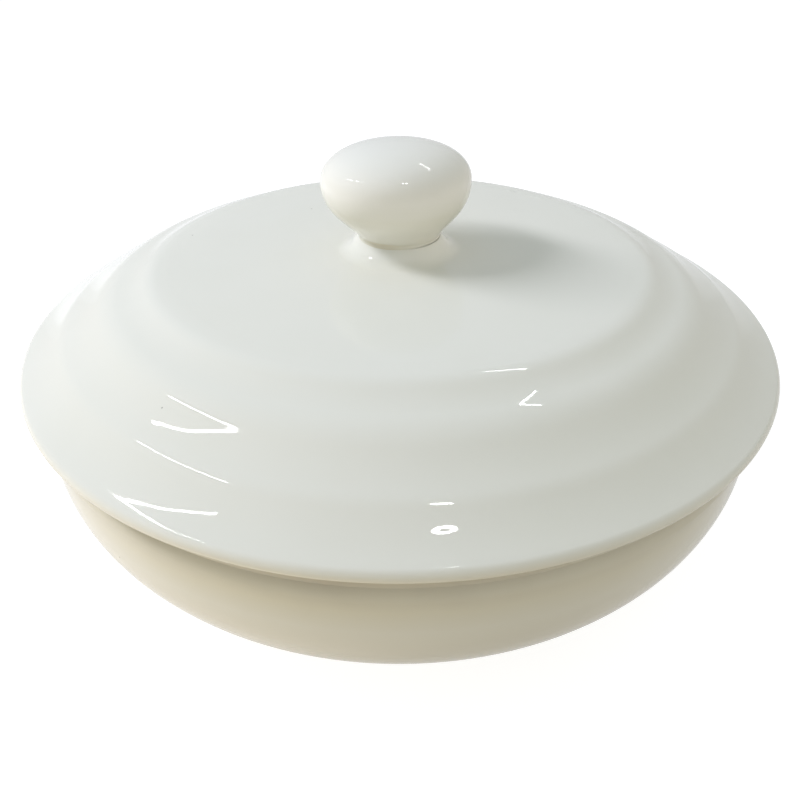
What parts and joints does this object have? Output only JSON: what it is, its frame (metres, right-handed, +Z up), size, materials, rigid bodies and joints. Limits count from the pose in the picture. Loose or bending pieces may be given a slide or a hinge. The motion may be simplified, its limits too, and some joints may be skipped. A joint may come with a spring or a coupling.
{
  "type": "lidded compartment dish",
  "caption": "Round glazed porcelain serving dish with built-in compartment walls and a foot ring, closed by a stepped lift-off lid with a knob.",
  "frame": {"origin": "centre of the foot ring's underside, on the surface that the dish stands on", "axes": "+Z up along the axis of the round dish; the compartment walls run along X and Y"},
  "size_m": [0.2198, 0.2198, 0.1102],
  "materials": {
    "porcelain_glaze": "glossy ivory-white glaze"
  },
  "bodies": {
    "dish": {"dish": "porcelain_glaze"},
    "lid": {"lid": "porcelain_glaze", "knob": "porcelain_glaze"}
  },
  "joints": [
    {"name": "lid_lift", "type": "slide", "parent": "dish", "child": "lid", "axis": [0, 0, 1], "range_m": [0, 0.15]}
  ]
}
